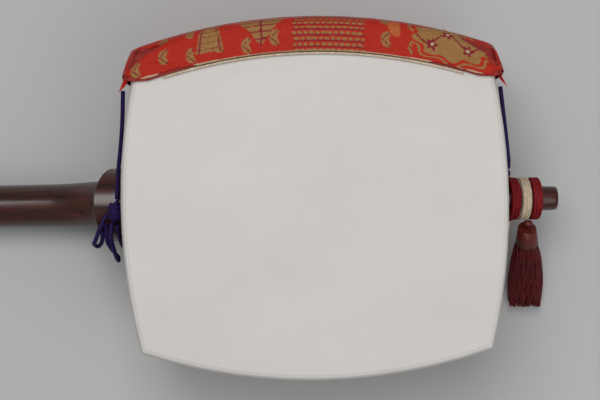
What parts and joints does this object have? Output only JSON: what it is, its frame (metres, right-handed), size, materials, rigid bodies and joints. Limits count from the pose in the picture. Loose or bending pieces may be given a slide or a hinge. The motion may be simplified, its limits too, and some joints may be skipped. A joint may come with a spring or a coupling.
{
  "type": "shamisen",
  "caption": "three-stringed skin-covered long-necked lute with a take-apart neck, turning pegs, loose bridge, tied brocade arm rest and tasselled cord tailpiece",
  "frame": {"origin": "on the surface the instrument lies on, below the middle of its bounding box", "axes": "+Z is the instrument's back, which faces up as it lies; -X is the head end and +X the tail end; +Y is the arm rest's side"},
  "size_m": [1.0136, 0.254, 0.1057],
  "materials": {
    "rosewood": "oiled red-brown rosewood, satin",
    "board_wood": "oiled quince wood",
    "skin": "taut off-white drum skin, matt",
    "horn": "polished pale horn",
    "brass": "polished",
    "string": "waxed twisted silk",
    "brocade": "red brocade with gold figures",
    "board": "pressed board",
    "cream": "cream silk",
    "purple": "braided purple silk",
    "red": "braided red silk",
    "tassel": "dark red silk strands"
  },
  "bodies": {
    "instrument": {"back_piping": "cream", "back_skin": "skin", "bow_knot": "purple", "bow_loop_long": "purple", "bow_loop_side": "purple", "ferrule_1_far": "brass", "ferrule_1_handle": "brass", "ferrule_2_far": "brass", "ferrule_2_handle": "brass", "ferrule_3_far": "brass", "ferrule_3_handle": "brass", "front_piping": "cream", "front_skin": "skin", "head": "rosewood", "lap_side_board": "board_wood", "lower_neck": "rosewood", "middle_neck": "rosewood", "neck_side_board": "board_wood", "neo_band_inner": "red", "neo_band_middle": "cream", "neo_band_outer": "red", "neo_bar": "red", "nut": "brass", "plectrum_patch": "skin", "rest_brocade": "brocade", "rest_cord_back": "purple", "rest_cord_front": "purple", "rest_core": "board", "rest_lining": "cream", "rest_side_board": "board_wood", "string_1": "string", "string_2": "string", "string_3": "string", "string_loop_1": "red", "string_loop_2": "red", "string_loop_3": "red", "tail_side_board": "board_wood", "tassel_cord": "cream", "tassel_fringe": "tassel", "tassel_head": "tassel", "tassel_knot": "red", "tip_cord_back": "purple", "tip_cord_front": "purple", "tip_cord_knot": "purple", "tip_cord_loop": "purple", "upper_neck": "rosewood"},
    "loose_bridge": {"bridge": "horn"},
    "tuning_peg_1": {"peg_1": "horn", "winding_1": "string"},
    "tuning_peg_2": {"peg_2": "horn", "winding_2": "string"},
    "tuning_peg_3": {"peg_3": "horn", "winding_3": "string"}
  },
  "joints": [
    {"name": "peg_1_turn", "type": "hinge", "parent": "instrument", "child": "tuning_peg_1", "pos_m": [-0.4058, 0, 0.01296], "axis": [0, 1, 0], "continuous": true},
    {"name": "peg_2_turn", "type": "hinge", "parent": "instrument", "child": "tuning_peg_2", "pos_m": [-0.4538, 0, 0.01296], "axis": [0, 1, 0], "continuous": true},
    {"name": "peg_3_turn", "type": "hinge", "parent": "instrument", "child": "tuning_peg_3", "pos_m": [-0.4298, 0, 0.01296], "axis": [0, 1, 0], "continuous": true},
    {"name": "bridge_slide", "type": "slide", "parent": "instrument", "child": "loose_bridge", "axis": [-1, 0, 0], "range_m": [0, 0.02]}
  ]
}
